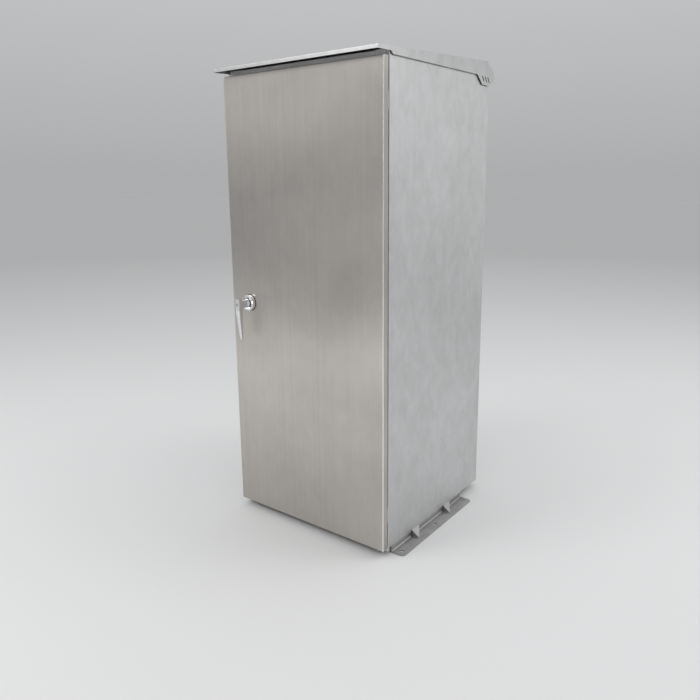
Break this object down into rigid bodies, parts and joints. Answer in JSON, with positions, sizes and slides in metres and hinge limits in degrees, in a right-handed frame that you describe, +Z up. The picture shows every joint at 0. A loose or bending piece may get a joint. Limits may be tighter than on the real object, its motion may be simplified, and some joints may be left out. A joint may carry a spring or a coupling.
{
  "type": "outdoor rack cabinet",
  "caption": "Free-standing outdoor rack cabinet of brushed stainless sheet with a hinged door, swing lever latch, sloping rain hood and bolt-down feet.",
  "frame": {"origin": "On the floor plane under the feet, midway between the four corner bolt holes.", "axes": "+X to the right seen from the front, +Y from the door to the back, +Z up."},
  "size_m": [0.684, 0.6733, 1.4765],
  "materials": {
    "door_steel": "brushed stainless, grain upright",
    "shell_steel": "brushed stainless, satin",
    "foot_steel": "pickled stainless, dull",
    "inner_steel": "zinc coated, satin",
    "plated_steel": "zinc plated, bright",
    "handle_chrome": "polished chrome",
    "lock_brass": "nickelled brass, satin",
    "earth_brass": "plain brass",
    "seal_rubber": "matt foam rubber",
    "black_plastic": "moulded, matt"
  },
  "bodies": {
    "cabinet": {"back_panel": "shell_steel", "cable_edging": "seal_rubber", "earth_stud": "earth_brass", "fan_frame_left": "black_plastic", "fan_frame_right": "black_plastic", "fan_guard_left": "plated_steel", "fan_guard_right": "plated_steel", "floor_plate": "inner_steel", "foot_gussets_left": "foot_steel", "foot_gussets_right": "foot_steel", "foot_left": "foot_steel", "foot_right": "foot_steel", "front_header": "shell_steel", "front_sill": "shell_steel", "gland_plate": "inner_steel", "hinge_frame_leaf_lower": "plated_steel", "hinge_frame_leaf_upper": "plated_steel", "hood_carrier_front": "inner_steel", "hood_carrier_rear": "inner_steel", "intake_grille": "inner_steel", "rack_rail_front_left": "inner_steel", "rack_rail_front_right": "inner_steel", "rack_rail_rear_left": "inner_steel", "rack_rail_rear_right": "inner_steel", "rail_brace_lower_left": "inner_steel", "rail_brace_lower_right": "inner_steel", "rail_brace_middle_left": "inner_steel", "rail_brace_middle_right": "inner_steel", "rail_brace_upper_left": "inner_steel", "rail_brace_upper_right": "inner_steel", "rain_hood": "shell_steel", "side_panel_left": "shell_steel", "side_panel_right": "shell_steel", "top_plate": "inner_steel"},
    "door": {"door_gasket_bottom": "seal_rubber", "door_gasket_left": "seal_rubber", "door_gasket_right": "seal_rubber", "door_gasket_top": "seal_rubber", "door_skin": "door_steel", "door_stiffener_left": "inner_steel", "door_stiffener_right": "inner_steel", "hinge_door_leaf_lower": "plated_steel", "hinge_door_leaf_upper": "plated_steel", "hinge_pin_lower": "plated_steel", "hinge_pin_upper": "plated_steel", "latch_nut": "plated_steel", "latch_rosette": "handle_chrome", "rod_guide_bottom": "black_plastic", "rod_guide_lower": "black_plastic", "rod_guide_top": "black_plastic", "rod_guide_upper": "black_plastic"},
    "handle": {"latch_lever": "handle_chrome", "latch_cam": "plated_steel", "cam_screw": "plated_steel"},
    "lock_plug": {"lock_plug": "lock_brass"},
    "upper_rod": {"upper_rod": "plated_steel"},
    "lower_rod": {"lower_rod": "plated_steel"},
    "fan_rotor_left": {"fan_rotor_left": "black_plastic"},
    "fan_rotor_right": {"fan_rotor_right": "black_plastic"}
  },
  "joints": [
    {"name": "door_swing", "type": "hinge", "parent": "cabinet", "child": "door", "pos_m": [0.292, -0.253, 0.717], "axis": [0, 0, 1], "range_deg": [0, 110]},
    {"name": "handle_turn", "type": "hinge", "parent": "door", "child": "handle", "pos_m": [-0.222, -0.2615, 0.721], "axis": [0, -1, 0], "range_deg": [0, 90]},
    {"name": "lock_turn", "type": "hinge", "parent": "handle", "child": "lock_plug", "pos_m": [-0.222, -0.3175, 0.721], "axis": [0, -1, 0], "range_deg": [0, 90]},
    {"name": "upper_rod_slide", "type": "slide", "parent": "door", "child": "upper_rod", "axis": [0, 0, 1], "range_m": [0, 0.02546]},
    {"name": "lower_rod_slide", "type": "slide", "parent": "door", "child": "lower_rod", "axis": [0, 0, -1], "range_m": [0, 0.02546]},
    {"name": "fan_spin_left", "type": "hinge", "parent": "cabinet", "child": "fan_rotor_left", "pos_m": [-0.11, 0.049, 1.395], "axis": [0, 0, 1], "continuous": true},
    {"name": "fan_spin_right", "type": "hinge", "parent": "cabinet", "child": "fan_rotor_right", "pos_m": [0.11, 0.049, 1.395], "axis": [0, 0, 1], "continuous": true}
  ],
  "couplings": [
    {"joint": "upper_rod_slide", "follows": "handle_turn", "m_per_rad": 0.016206},
    {"joint": "lower_rod_slide", "follows": "handle_turn", "m_per_rad": 0.016206}
  ]
}
